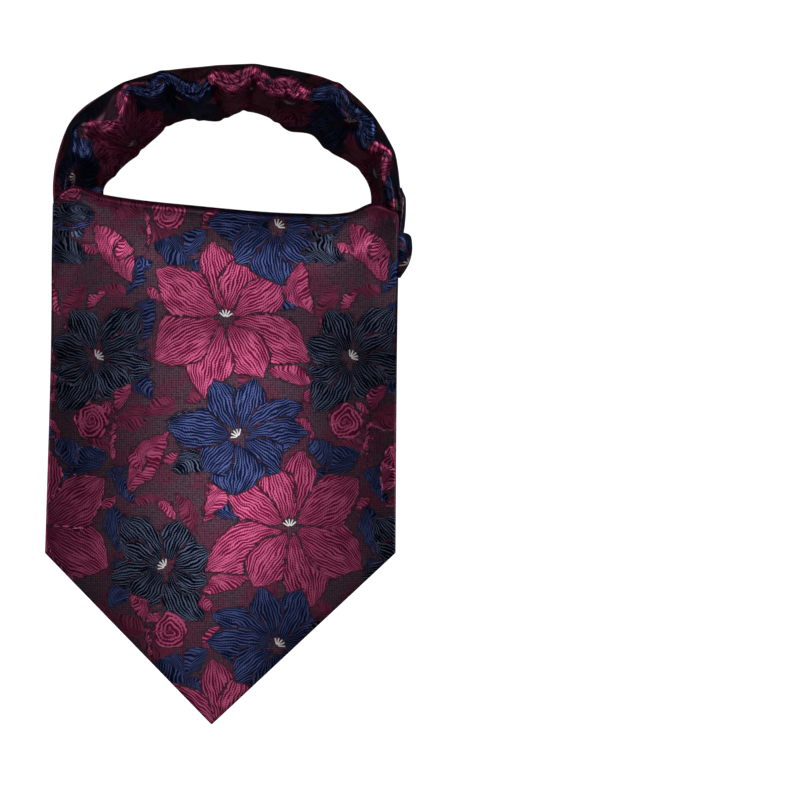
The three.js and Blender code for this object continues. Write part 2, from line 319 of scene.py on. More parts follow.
def blade_grid(columns, step):
    """The front blade's upper side, from its tuck round the roll to the tip, and its places in the cloth."""
    radius = lerp(ROLL_MIDDLE, ROLL_CORNER, columns**2)
    start = blade_face(columns, radius)
    rows, cloth = [], []
    for tucked in np.arange(TUCK, 0, -step):
        rows.append(blade_roll(columns, -math.pi / 2, tucked))
        cloth.append(joined(start[:, 0], start[:, 1] + math.pi * radius + tucked))
    for turn in np.linspace(-math.pi / 2, math.pi / 2, int(math.pi * ROLL_MIDDLE / step)):
        rows.append(blade_roll(columns, turn, 0))
        cloth.append(joined(start[:, 0], start[:, 1] + radius * (math.pi / 2 - turn)))
    first = 2 * ROLL_MIDDLE
    panel = np.arange(first, SHOULDER, step)
    point = np.linspace(SHOULDER, BLADE_LENGTH, int((BLADE_LENGTH - SHOULDER) / step))
    between = lerp(radius, first, 0.5)
    for below in [between, *panel, *point]:
        points = blade_face(columns, below)
        rows.append(points)
        cloth.append(points[:, :2])
    points, cloth = np.array(rows), np.array(cloth)
    x, y = points[..., 0], points[..., 1]
    points[..., 2] += crease_height(x, y) * smoothstep(FOLD_Y - y, 0, CREASE_FADE)
    return points, cloth


def under_grid(columns, step):
    side = track(UNDER_ROWS, "below", "half")
    neck, shoulder = UNDER_ROWS[0]["below"], UNDER_ROWS[-1]
    point = UNDER_LENGTH - shoulder["below"]
    below = np.concatenate([
        np.arange(neck, shoulder["below"], step),
        np.linspace(shoulder["below"], UNDER_LENGTH, int(point / step)),
    ])[:, None]
    part = (below - shoulder["below"]) / point
    half = np.where(part < 0, side(below), lerp(shoulder["half"], TIP_HALF, part))
    points = joined(blade_centre(below) + columns * half, FOLD_Y - below + 0 * columns, CLOTH)
    return points, points[..., :2]


# Forms of the neck band and the wrap

band_rim = track(BAND_ROWS, "turn", "rim")
band_width = track(BAND_ROWS, "turn", "width")
band_height = track(BAND_ROWS, "turn", "height")
band_crest = track(GATHERS, "turn", "crest")


def band_section(turn):
    """Corners of a section, outer foot over the crest to inner foot: distance inside the rim, and height."""
    width, height = band_width(turn), band_height(turn)
    crest = np.maximum(band_crest(turn), CREST_ROUND)
    rounding = [
        joined(crest + CREST_ROUND * math.cos(angle), height + CREST_ROUND * (math.sin(angle) - 1))
        for angle in map(math.radians, CREST_ANGLES)
    ]
    rim = joined(0 * height, RIM_RISE * height)
    belly = joined(width, BELLY_RISE * height)
    hollow = np.array([FACE_HOLLOW, 0])
    return np.stack([
        joined(FOOT_IN + 0 * height, 0 * height),
        rim,
        lerp(rim, rounding[0], SWELL_AT) - np.array([OUTER_SWELL, 0]),
        *rounding,
        *(lerp(rounding[-1], belly, part) - hollow for part in HOLLOW_AT),
        belly,
        joined(width - BELLY_OUT, 0 * height),
    ], axis=-2)


def rounded(corners, count):
    """A smooth line through corners (the second last axis), spaced about evenly along its length."""
    padded = np.concatenate([corners[..., :1, :], corners, corners[..., -1:, :]], axis=-2)
    lengths = np.linalg.norm(np.diff(corners, axis=-2), axis=-1).mean(axis=0)
    ends = np.concatenate([[0], np.cumsum(lengths)])
    at = np.interp(np.linspace(0, ends[-1], count), ends, np.arange(len(ends)))
    i = np.clip(at.astype(int), 0, len(ends) - 2)
    p = (at - i)[:, None]
    a, b, c, d = (padded[..., i + k, :] for k in range(4))
    bend = (2 * a - 5 * b + 4 * c - d) * p**2 + (3 * b - a - 3 * c + d) * p**3
    return (2 * b + (c - a) * p + bend) / 2


def band_place(turn, inside, height):
    reach = band_rim(turn) - inside
    angle = np.radians(turn)
    return joined(LOOP_X + reach * np.cos(angle), LOOP_Y + reach * np.sin(angle), height)


# Soft folds down the band's inner face: turn at the crest, lean, width and height
FOLDS = [
    {"turn": 168, "lean": 4, "wide": 4, "high": -1},
    {"turn": 160, "lean": 6, "wide": 2, "high": 1.5},
    {"turn": 152, "lean": -5, "wide": 1.8, "high": -2},
    {"turn": 143, "lean": 8, "wide": 4.5, "high": 2.2},
    {"turn": 132, "lean": -4, "wide": 1.7, "high": -2.2},
    {"turn": 124, "lean": -6, "wide": 2.6, "high": 1.4},
    {"turn": 115, "lean": 4, "wide": 4, "high": -1.4},
    {"turn": 105, "lean": 3, "wide": 2, "high": 1.8},
    {"turn": 98, "lean": -6, "wide": 1.8, "high": -2},
    {"turn": 86, "lean": 8, "wide": 4.6, "high": 1.6},
    {"turn": 76, "lean": 5, "wide": 1.8, "high": -2.2},
    {"turn": 66, "lean": -8, "wide": 3.6, "high": 2},
    {"turn": 54, "lean": 4, "wide": 2, "high": -2.2},
    {"turn": 45, "lean": 7, "wide": 4, "high": 1.5},
    {"turn": 34, "lean": -6, "wide": 1.8, "high": -2},
    {"turn": 26, "lean": 4, "wide": 3, "high": 1.4},
    {"turn": 18, "lean": -3, "wide": 1.6, "high": -1.2},
]


def band_grid(turns, count):
    """The band's outer side, a row for each turn from foot to foot, puffed and folded on its inner face."""
    section = rounded(band_section(turns), count)
    points = band_place(turns[:, None], section[..., 0], section[..., 1])
    start = np.argmax(section[..., 1].mean(axis=0)) - FOLD_LEAD
    share = np.clip((np.arange(count) - start) / (count - 1 - start), 0, 1)
    window = np.sin(math.pi * share**FOLD_SKEW) ** FOLD_FULLNESS
    folds = np.zeros(section.shape[:2])
    for fold in FOLDS:
        middle = fold["turn"] + fold["lean"] * share
        folds += fold["high"] * np.exp(-(((turns[:, None] - middle) / fold["wide"]) ** 2))
    puff = FACE_PUFF * (smoothstep(turns, *PUFF_FADE_RIGHT) * smoothstep(180 - turns, *PUFF_FADE_LEFT))
    height = (folds + puff[:, None]) * window
    return points + grid_normals(points) * height[..., None]


def lobe_grid(count, rounds):
    reach, inner, high = (track(LOBE_ROWS, "y", column) for column in ("reach", "inner", "high"))
    y = np.linspace(LOBE_ROWS[0]["y"], LOBE_ROWS[-1]["y"], count)[:, None]
    angle = np.linspace(-math.pi / 2, math.pi / 2, rounds)
    out = np.maximum(np.cos(angle), 0) ** (2 / LOBE_POWER)
    rise = np.sign(np.sin(angle)) * np.abs(np.sin(angle)) ** (2 / LOBE_POWER)
    z = lerp(LOBE_LOW, high(y), (1 + rise) / 2)
    lip = LOBE_LIP * smoothstep(z, *LOBE_LIP_RISE) * smoothstep(y, LOBE_LIP_FROM, LOBE_ROWS[0]["y"])
    return joined(lerp(inner(y), reach(y), out), y + lip, z)


def crossing_grid(count, rounds):
    y, wide, low, high = (track(CROSSING_ROWS, "x", column) for column in ("y", "wide", "low", "high"))
    x = np.linspace(CROSSING_ROWS[0]["x"], CROSSING_ROWS[-1]["x"], count)[:, None]
    angle = np.linspace(0, 2 * math.pi, rounds, endpoint=False)
    side = np.sign(np.cos(angle)) * np.abs(np.cos(angle)) ** (2 / CROSSING_POWER)
    rise = np.sign(np.sin(angle)) * np.abs(np.sin(angle)) ** (2 / CROSSING_POWER)
    return joined(x + 0 * angle, y(x) + side * wide(x) / 2, lerp(low(x), high(x), (1 + rise) / 2))


# The woven pattern, charted in cloth millimetres: it repeats across, and mirrored rows slide down
REPEAT_X = 108.5
SLIDE_Y = 89.3
MIRROR_X = 12.9
CHART_REACH = (130, 100)
FAR_OUTSIDE = -30.0

# Petals, leaves and buds
PETAL_GAP = 0.6
PETAL_ROOT = 3
PETAL_FULL = 1.18
BAND_PETAL_FULL = 1.2
PETAL_CURL = 0.13
POINTED = 2.3
RIPPLE = 0.09
RIPPLE_RATE = 11
LEAF_CHEVRON = 0.8
THREAD_PITCH = 1.3
ROOT_SPREAD = 0.45
SWAY = 0.4
SWAY_RUN = 2.9
BARB_LEAN = 0.7
EDGE_SLOPE = 0.9
BUD_PITCH = 1.7
BUD_SCALLOP = 0.07
HEART_REACH = 12.0
FAR_FROM_HEART = 60.0
BAND_STAMENS = 120

ROSE_PETALS = [
    {"turn": 97, "long": 33.5, "wide": 14},
    {"turn": 65, "long": 27, "wide": 16},
    {"turn": 27, "long": 32, "wide": 14},
    {"turn": -21, "long": 40, "wide": 17},
    {"turn": -60, "long": 30, "wide": 16},
    {"turn": -112, "long": 35.5, "wide": 17},
    {"turn": 203, "long": 35, "wide": 20},
    {"turn": 150, "long": 36, "wide": 17},
]
NAVY_PETALS = [
    {"turn": 66, "long": 26.5, "wide": 12.5},
    {"turn": 112, "long": 26, "wide": 12.5},
    {"turn": 146, "long": 31, "wide": 11},
    {"turn": 176, "long": 30, "wide": 12},
    {"turn": 220, "long": 23, "wide": 15},
    {"turn": 273, "long": 25, "wide": 20},
    {"turn": 320, "long": 21, "wide": 14},
    {"turn": 12, "long": 31, "wide": 14},
]
INK_PETALS = [
    {"turn": 108, "long": 22.5, "wide": 13},
    {"turn": 47, "long": 28, "wide": 15},
    {"turn": 20, "long": 21, "wide": 10},
    {"turn": -17, "long": 24.5, "wide": 12},
    {"turn": -54, "long": 21, "wide": 14},
    {"turn": 243, "long": 27.5, "wide": 15},
    {"turn": 201, "long": 19, "wide": 12},
    {"turn": 163, "long": 20, "wide": 12},
]
PETALS = {"rose": ROSE_PETALS, "navy": NAVY_PETALS, "ink": INK_PETALS}
FLOWERS = [
    {"colour": "ink", "x": -56.3, "y": 15.4, "stamens": 40},
    {"colour": "rose", "x": -0.8, "y": 32.5, "stamens": 85},
    {"colour": "navy", "x": 21, "y": 71, "stamens": 50},
]
LEAVES = [
    {"colour": "wine", "x": -20, "y": 66, "to_x": -37, "to_y": 73, "wide": 9, "bend": 0.1},
    {"colour": "wine", "x": -30, "y": -4, "to_x": -50, "to_y": -12, "wide": 10, "bend": 0.1},
    {"colour": "wine", "x": -46, "y": 80, "to_x": -62, "to_y": 88, "wide": 8, "bend": 0},
    {"colour": "wine", "x": 4, "y": 2, "to_x": 12, "to_y": 16, "wide": 8, "bend": -0.1},
    {"colour": "wine", "x": -2, "y": 2, "to_x": -19, "to_y": -4, "wide": 7, "bend": -0.1},
    {"colour": "wine", "x": 40, "y": 29, "to_x": 48, "to_y": 47, "wide": 8, "bend": 0.1},
    {"colour": "wine", "x": -56, "y": 44, "to_x": -40, "to_y": 42, "wide": 5, "bend": 0.1},
    {"colour": "ink", "x": -76, "y": 74, "to_x": -56.3, "to_y": 77.5, "wide": 10, "bend": 0.1},
    {"colour": "ink", "x": -76, "y": 70, "to_x": -60, "to_y": 69, "wide": 7, "bend": -0.2},
    {"colour": "ink", "x": -77, "y": 60.5, "to_x": -58.5, "to_y": 56.9, "wide": 11, "bend": 0.12},
    {"colour": "navy", "x": -16.2, "y": 54.7, "to_x": -31.1, "to_y": 64.6, "wide": 12, "bend": -0.12},
    {"colour": "navy", "x": -17.4, "y": 58.2, "to_x": -8.9, "to_y": 71, "wide": 9, "bend": 0.1},
    {"colour": "navy", "x": -16.3, "y": 57.5, "to_x": -9.3, "to_y": 49.2, "wide": 5.5, "bend": 0.1},
    {"colour": "navy", "x": -41.5, "y": 57, "to_x": -31.4, "to_y": 56, "wide": 7, "bend": -0.2},
    {"colour": "navy", "x": -39.5, "y": 59.5, "to_x": -42.8, "to_y": 42.4, "wide": 6.5, "bend": 0.16},
    {"colour": "navy", "x": 33, "y": 39, "to_x": 15, "to_y": 35, "wide": 7, "bend": -0.12},
    {"colour": "navy", "x": -32.4, "y": 42, "to_x": -37, "to_y": 21, "wide": 12, "bend": -0.1},
    {"colour": "navy", "x": -34.5, "y": 20.5, "to_x": -32.4, "to_y": -2, "wide": 15, "bend": -0.3},
    {"colour": "rose", "x": -57, "y": 73, "to_x": -40.6, "to_y": 47.4, "wide": 13, "bend": 0.06},
    {"colour": "rose", "x": -46.5, "y": 57, "to_x": -43.5, "to_y": 66.5, "wide": 7.5, "bend": -0.1},
    {"colour": "rose", "x": -55, "y": 60, "to_x": -62, "to_y": 64, "wide": 4.5, "bend": 0},
    {"colour": "rose", "x": 27.4, "y": 64.5, "to_x": 36, "to_y": 37, "wide": 11, "bend": -0.16},
    {"colour": "rose", "x": -64, "y": 36.6, "to_x": -69.3, "to_y": 27, "wide": 6, "bend": 0.1},
    {"colour": "rose", "x": -60.5, "y": 35.6, "to_x": -52.4, "to_y": 43.4, "wide": 4.5, "bend": 0.1},
    {"colour": "rose", "x": -76.5, "y": 57, "to_x": -71.7, "to_y": 34, "wide": 11, "bend": -0.2},
    {"colour": "rose", "x": 16.5, "y": 10.6, "to_x": 37.4, "to_y": 4, "wide": 8, "bend": 0.08},
    {"colour": "rose", "x": 36.4, "y": 4.3, "to_x": 32.6, "to_y": -4, "wide": 4.5, "bend": 0.1},
    {"colour": "rose", "x": -34.8, "y": 45.6, "to_x": -28.6, "to_y": 39.8, "wide": 3.8, "bend": 0},
    {"colour": "rose", "x": -35.4, "y": 81.5, "to_x": -34, "to_y": 59.5, "wide": 1.9, "bend": 0.05},
    {"colour": "rose", "x": -35.6, "y": 81.5, "to_x": -41.6, "to_y": 93.4, "wide": 6, "bend": -0.12},
    {"colour": "rose", "x": -35, "y": 81, "to_x": -28.6, "to_y": 86, "wide": 3.4, "bend": 0},
    {"colour": "rose", "x": -11, "y": 70.5, "to_x": -3.8, "to_y": 80, "wide": 7.5, "bend": -0.1},
]
BUDS = [{"colour": "rose", "x": -24.7, "y": 77.6, "long": 15, "wide": 14}]
CORNER_BUD = {"colour": "rose", "x": -66.6, "y": 87, "long": 9.5, "wide": 10.5}
COLOURS = ("rose", "navy", "ink", "wine")


class Weave:
    """How far inside each colour every cloth place lies (mm), and the run of the satin threads there."""

    def __init__(self, cloth):
        self.places = cloth.reshape(-1, 2)
        self.inside = {colour: np.full(len(self.places), FAR_OUTSIDE) for colour in COLOURS}
        self.thread = np.zeros(len(self.places))
        self.tip = np.zeros(len(self.places))
        self.barb = np.zeros(len(self.places))

    def lay(self, near, colour, depth, thread, tip, barb):
        """Lays one motif over what is woven so far, with a dark gap round it."""
        for other, inside in self.inside.items():
            cut = np.minimum(inside[near], -(depth + PETAL_GAP))
            inside[near] = np.maximum(cut, depth) if other == colour else cut
        here = depth > -PETAL_GAP / 2
        self.thread[near] = np.where(here, thread, self.thread[near])
        self.tip[near] = np.where(here, tip, self.tip[near])
        self.barb[near] = np.where(here, barb, self.barb[near])

    def blade(self, colour, x, y, turn, long, wide, bend=0.0, curl=0.0, root=0.0, full=0.54, chevron=0.0):
        """One petal or leaf from its root, widest at the share full of its length."""
        angle = math.radians(turn)
        shift = self.places - (x, y)
        near = np.flatnonzero(np.abs(shift).max(axis=1) < long + 3)
        if not near.size:
            return
        shift = shift[near]
        along = shift @ (math.cos(angle), math.sin(angle))
        side = shift @ (-math.sin(angle), math.cos(angle))
        part = np.clip((along - root) / (long - root), 0, 1)
        side = side - long * (bend * np.sin(math.pi * part) + curl * part**3)
        slim, blunt = POINTED * full, POINTED * (1 - full)
        swell = part**slim * (1 - part) ** blunt / (full**slim * (1 - full) ** blunt)
        ripple = 1 + RIPPLE * np.sin(RIPPLE_RATE * part + turn + 2 * np.sign(side))
        half = wide / 2 * swell * ripple
        beyond = np.maximum(np.maximum(root - along, along - long), 0)
        depth = np.where(beyond > 0, -np.hypot(beyond, side), (half - np.abs(side)) * EDGE_SLOPE)
        spread = THREAD_PITCH * lerp(ROOT_SPREAD, 1, swell)
        sway = SWAY * np.sin(along / SWAY_RUN + turn) * part
        thread = side / spread + sway + chevron * (along - np.abs(side)) / THREAD_PITCH
        self.lay(near, colour, depth, thread, part, along + BARB_LEAN * np.abs(side))

    def bud(self, colour, x, y, long, wide):
        """A round bud of curled petals, drawn by threads that wind round its heart."""
        shift = self.places - (x, y)
        near = np.flatnonzero(np.abs(shift).max(axis=1) < long)
        if not near.size:
            return
        shift = shift[near]
        radius = np.hypot(shift[:, 0] * 2 / wide, shift[:, 1] * 2 / long)
        angle = np.arctan2(shift[:, 1], shift[:, 0])
        scallop = 1 + BUD_SCALLOP * np.sin(5 * angle)
        depth = (scallop - radius) * wide / 2
        thread = radius * wide / 2 / BUD_PITCH + angle / (2 * math.pi) + 0.25 * np.sin(3 * angle)
        self.lay(near, colour, depth, thread, np.clip(radius, 0, 1), angle * 4)


class Copy:
    """One copy of the chart: where its places lie in the cloth, and which way its motifs point."""

    def __init__(self, over, down, mirrored):
        self.over = over
        self.down = down
        self.mirrored = mirrored
        self.flip = -1 if mirrored else 1

    def place(self, motif):
        x = 2 * MIRROR_X - motif["x"] if self.mirrored else motif["x"]
        return x + self.over, motif["y"] - self.down

    def way(self, turn):
        return 180 - turn if self.mirrored else turn


def copies(low, high):
    """Each copy of the chart that can touch the box."""
    wide, tall = CHART_REACH
    first, last = math.floor((low[0] - wide) / REPEAT_X), math.ceil((high[0] + wide) / REPEAT_X)
    for down in range(math.floor((-tall - high[1]) / SLIDE_Y), math.ceil((tall - low[1]) / SLIDE_Y) + 1):
        for over in range(first, last + 1):
            yield Copy(over * REPEAT_X, down * SLIDE_Y, down % 2 == 1)


def paint_repeat(cloth):
    """The whole repeat over a cloth grid, and where the white stamens stand: x, y and the way they open."""
    weave = Weave(cloth)
    stamens = []
    for copy in copies(weave.places.min(axis=0), weave.places.max(axis=0)):
        for leaf in LEAVES:
            run = leaf["to_x"] - leaf["x"], leaf["to_y"] - leaf["y"]
            turn = copy.way(math.degrees(math.atan2(run[1], run[0])))
            weave.blade(leaf["colour"], *copy.place(leaf), turn, math.hypot(*run), leaf["wide"],
                        bend=copy.flip * leaf["bend"], full=0.5, chevron=LEAF_CHEVRON)
        for bud in BUDS:
            weave.bud(bud["colour"], *copy.place(bud), bud["long"], bud["wide"])
        for flower in FLOWERS:
            x, y = copy.place(flower)
            for petal in PETALS[flower["colour"]]:
                # Each petal curls by its own uneven amount
                curl = copy.flip * PETAL_CURL * math.sin(petal["turn"])
                weave.blade(flower["colour"], x, y, copy.way(petal["turn"]), petal["long"],
                            petal["wide"] * PETAL_FULL, curl=curl, root=PETAL_ROOT)
            stamens.append((x, y, copy.way(flower["stamens"])))
    return weave, stamens


# Flowers of the neck band: turn round the loop, millimetres from the crest down the inner face, colour, size
BAND_FLOWERS = [
    {"turn": 193, "down": 14, "colour": "ink", "size": 0.9, "spin": 40},
    {"turn": 160, "down": 34, "colour": "rose", "size": 0.6, "spin": 40},
    {"turn": 170, "down": 3, "colour": "navy", "size": 0.9, "spin": 20},
    {"turn": 146, "down": 27, "colour": "rose", "size": 1, "spin": 70},
    {"turn": 110.6, "down": 12, "colour": "navy", "size": 0.95, "spin": 10},
    {"turn": 77, "down": 16, "colour": "rose", "size": 0.8, "spin": 150},
    {"turn": 57, "down": 12, "colour": "rose", "size": 0.75, "spin": 60},
    {"turn": 34, "down": 6, "colour": "navy", "size": 1, "spin": 100},
    {"turn": 11, "down": 14, "colour": "rose", "size": 0.75, "spin": 30},
    {"turn": -1, "down": -3, "colour": "navy", "size": 0.5, "spin": 0},
    {"turn": 176, "down": -26, "colour": "rose", "size": 0.65, "spin": 20},
    {"turn": 140, "down": -27, "colour": "navy", "size": 0.75, "spin": 60},
    {"turn": 106, "down": -28, "colour": "rose", "size": 0.7, "spin": 130},
    {"turn": 73, "down": -27, "colour": "ink", "size": 0.85, "spin": 0},
    {"turn": 42, "down": -27, "colour": "rose", "size": 0.7, "spin": 10},
    {"turn": 14, "down": -24, "colour": "navy", "size": 0.6, "spin": 80},
]


def paint_band(cloth, along):
    """The band's own stretch of the pattern; along gives the cloth place of a turn round the loop."""
    weave = Weave(cloth)
    for flower in BAND_FLOWERS:
        x = along(flower["turn"])
        for petal in PETALS[flower["colour"]]:
            long, wide = petal["long"] * flower["size"], petal["wide"] * flower["size"]
            weave.blade(flower["colour"], x, -flower["down"], petal["turn"] + flower["spin"],
                        long, wide * BAND_PETAL_FULL, root=PETAL_ROOT)
    return weave


# Making meshes

def grid_normals(points, wrap=False):
    if wrap:
        over = np.roll(points, -1, axis=1) - np.roll(points, 1, axis=1)
    else:
        over = np.gradient(points, axis=1)
    normal = np.cross(over, np.gradient(points, axis=0))
    return normal / np.maximum(np.linalg.norm(normal, axis=-1, keepdims=True), 1e-9)


def edge_drop(points):
    """How far the cloth's face rounds down towards its two long edges (mm)."""
    from_left = np.linalg.norm(points - points[:, :1], axis=-1)
    from_right = np.linalg.norm(points - points[:, -1:], axis=-1)
    near = np.clip(1 - np.minimum(from_left, from_right) / EDGE_ROUND, 0, 1)
    return EDGE_ROUND * (1 - np.sqrt(1 - near**2))


def wall_faces(rows, columns, kept, wrap):
    """A closed wall's faces, and how many of them come before those of the hidden side."""
    face = np.arange(rows * columns).reshape(rows, columns)
    hidden = rows * columns + np.arange(rows * len(kept)).reshape(rows, len(kept))
    if wrap:
        front, front_next = face, np.roll(face, -1, axis=1)
        back, back_next = hidden, np.roll(hidden, -1, axis=1)
        ends = np.append(kept, columns)
    else:
        front, front_next = face[:, :-1], face[:, 1:]
        back, back_next = hidden[:, :-1], hidden[:, 1:]
        ends = kept
    outer = np.stack([front[:-1], front_next[:-1], front_next[1:], front[1:]], axis=-1).reshape(-1, 4)
    inner = np.stack([back[:-1], back[1:], back_next[1:], back_next[:-1]], axis=-1).reshape(-1, 4)
    faces = outer.tolist()
    for k in range(back.shape[1]):
        span = np.arange(ends[k], ends[k + 1] + 1) % columns
        faces.append([back[0, k], back_next[0, k], *face[0, span][::-1]])
        faces.append([back_next[-1, k], back[-1, k], *face[-1, span]])
    if not wrap:
        for r in range(rows - 1):
            faces.append([front[r, 0], front[r + 1, 0], back[r + 1, 0], back[r, 0]])
            faces.append([front_next[r, -1], back_next[r, -1], back_next[r + 1, -1], front_next[r + 1, -1]])
    return [[int(corner) for corner in corners] for corners in faces + inner.tolist()], len(faces)


def shell(name, face, behind, every=1, wrap=False, weave=None, cloth=None):
    """A closed cloth wall between two grids; the hidden side keeps only one column in every few."""
    rows, columns = face.shape[:2]
    kept = np.arange(0, columns, every)
    if not wrap:
        kept = np.unique(np.append(kept, columns - 1))
    faces, faces_ahead = wall_faces(rows, columns, kept, wrap)
    points = np.concatenate([face.reshape(-1, 3), behind[:, kept].reshape(-1, 3)])
    mesh = bpy.data.meshes.new(name)
    mesh.from_pydata(((points + SHIFT) * MM).tolist(), [], faces)
    mesh.shade_smooth()
    place_bake_map(mesh, rows, columns, kept, sum(map(len, faces[:faces_ahead])))
    if weave:
        hidden = np.zeros(rows * len(kept))
        for colour, inside in weave.inside.items():
            put(mesh, colour, np.append(inside, hidden + FAR_OUTSIDE))
        put(mesh, "thread", np.append(weave.thread, hidden))
        put(mesh, "tip", np.append(weave.tip, hidden))
        put(mesh, "barb", np.append(weave.barb, hidden))
    if cloth is None:
        cloth = face[..., :2]
    flat = np.concatenate([cloth.reshape(-1, 2), cloth[:, kept].reshape(-1, 2)])
    put_vector(mesh, "cloth", np.c_[flat, 0 * flat[:, :1]])
    made = bpy.data.objects.new(name, mesh)
    bpy.context.scene.collection.objects.link(made)
    return made


def put(mesh, name, values):
    attribute = mesh.attributes.new(name, "FLOAT", "POINT")
    attribute.data.foreach_set("value", values.astype(np.float32))


def put_vector(mesh, name, vectors):
    attribute = mesh.attributes.new(name, "FLOAT_VECTOR", "POINT")
    attribute.data.foreach_set("vector", vectors.astype(np.float32).ravel())


def place_bake_map(mesh, rows, columns, kept, loops_ahead):
    """Lays the face over most of the map and the hidden side on a strip beside it."""
    v = np.linspace(0.01, 0.99, rows)[:, None]
    u = np.linspace(0.01, 0.88, columns)
    ahead = np.concatenate([joined(u, v).reshape(-1, 2), joined(u[kept], v).reshape(-1, 2)])
    beside = joined(np.linspace(0.91, 0.99, len(kept)), v).reshape(-1, 2)
    behind = np.concatenate([np.zeros((rows * columns, 2)), beside])
    corner = np.empty(len(mesh.loops), dtype=np.int32)
    mesh.loops.foreach_get("vertex_index", corner)
    place = np.where(np.arange(len(corner))[:, None] < loops_ahead, ahead[corner], behind[corner])
    mesh.uv_layers.new(name="OFBake").data.foreach_set("uv", place.astype(np.float32).ravel())


def walled(name, face, thick=CLOTH, floor=None, soft_edges=False, **facts):
    """A shell of one thickness behind a face, with rounded long edges where they are free."""
    normal = grid_normals(face, facts.get("wrap", False))
    drop = edge_drop(face)[..., None] if soft_edges else 0
    behind = face - normal * (thick - drop)
    face = face - normal * drop
    if floor is not None:
        behind[..., 2] = np.maximum(behind[..., 2], floor)
    return shell(name, face, behind, **facts)


# Silk

def linear(red, green, blue):
    """A colour given as it shows on a screen (0 to 255), as the shader's linear colour."""
    parts = (value / 255 for value in (red, green, blue))
    return (*(p / 12.92 if p <= 0.04045 else ((p + 0.055) / 1.055) ** 2.4 for p in parts), 1)


DARK = {
    "rose": linear(102, 22, 56),
    "navy": linear(16, 22, 50),
    "ink": linear(5, 7, 22),
    "wine": linear(70, 28, 46),
}
BRIGHT = {
    "rose": linear(200, 90, 134),
    "navy": linear(74, 86, 138),
    "ink": linear(92, 102, 130),
    "wine": linear(136, 56, 86),
}
THREAD_RANGE = {
    "rose": (-0.5, 0.5),
    "navy": (-0.4, 0.7),
    "ink": (-0.2, 0.9),
    "wine": (-1.0, 0.6),
}
# Painted shadow: the colour the ground darkens to just outside the satin motifs, as if the raised petals
# shaded it
PAINTED_EDGE_SHADOW = linear(24, 14, 20)
GROUND_DARK = linear(50, 32, 43)
GROUND_BRIGHT = linear(96, 72, 87)
GROUND_WINE = linear(116, 58, 82)
WHITE_THREAD = linear(240, 238, 240)
# Painted highlight, partly a rose edge line: the colour of the line along the band's rim that stands in for
# the light on its curled edge
RIM_LINE_AND_HIGHLIGHT = linear(206, 104, 138)
SATIN = ("rose", "navy", "ink")
WEAVE_PITCH = 0.74
SLUB = 5.0
BARB_PITCH = 1.2
STRAY = 2.2
STREAK_RUN = 0.13
SPLIT_PART = 0.35
STREAK_PART = 0.65
TWILL_PART = 0.28
STAMEN_SPOKE = math.radians(26)
GROUND_ROUGH = 0.33
BUMP_STRENGTH = 0.22
BUMP_DISTANCE = 0.25 * MM
FLOOR_HALF = 2.5


class Tree:
    """Short words for building one material's nodes."""

    def __init__(self, name):
        self.material = bpy.data.materials.new(name)
        self.material.use_nodes = True
        self.nodes = self.material.node_tree.nodes
        self.links = self.material.node_tree.links
        self.shader = self.nodes["Principled BSDF"]

    def add(self, kind, inputs, output=0, **settings):
        made = self.nodes.new(kind)
        for key, value in settings.items():
            setattr(made, key, value)
        for key, value in inputs.items():
            self.feed(made.inputs[key], value)
        return made.outputs[output]

    def feed(self, socket, value):
        if isinstance(value, bpy.types.NodeSocket):
            self.links.new(value, socket)
        else:
            socket.default_value = value

    def split(self, vector):
        """The first two parts of a vector."""
        made = self.nodes.new("ShaderNodeSeparateXYZ")
        self.feed(made.inputs[0], vector)
        return made.outputs[0], made.outputs[1]

    def calc(self, operation, *values):
        return self.add("ShaderNodeMath", dict(enumerate(values)), operation=operation)

    def chain(self, operation, first, *others):
        for other in others:
            first = self.calc(operation, first, other)
        return first

    def plus(self, *values):
        return self.chain("ADD", *values)

    def times(self, *values):
        return self.chain("MULTIPLY", *values)

    def most(self, *values):
        return self.chain("MAXIMUM", *values)

    def ramp(self, value, low, high, to_low=0.0, to_high=1.0):
        inputs = {"Value": value, "From Min": low, "From Max": high, "To Min": to_low, "To Max": to_high}
        return self.add("ShaderNodeMapRange", inputs, interpolation_type="SMOOTHSTEP")

    def mix(self, part, low, high):
        return self.add("ShaderNodeMix", {0: part, 6: low, 7: high}, output=2, data_type="RGBA")

    def mix_value(self, part, low, high):
        return self.add("ShaderNodeMix", {0: part, 2: low, 3: high}, output=0, data_type="FLOAT")

    def attribute(self, name, output="Fac"):
        return self.add("ShaderNodeAttribute", {}, output=output, attribute_name=name)

    def noise(self, vector, scale, detail=2.0):
        inputs = {"Vector": vector, "Scale": scale, "Detail": detail}
        return self.add("ShaderNodeTexNoise", inputs, output="Fac")

    def set(self, **inputs):
        for key, value in inputs.items():
            self.feed(self.shader.inputs[key.replace("_", " ")], value)


def hatching(tree, cloth):
    """The ground's fine crossed threads, 0 to 1, uneven as slubbed silk is."""
    x, y = tree.split(cloth)
    pitch = 2 * math.pi / WEAVE_PITCH
    warp = tree.calc("SINE", tree.times(x, pitch))
    weft = tree.calc("SINE", tree.times(y, pitch))
    slub = tree.times(tree.noise(cloth, 0.9, 2.0), SLUB)
    return tree.ramp(tree.plus(warp, weft, slub), 0.6, 4.2)


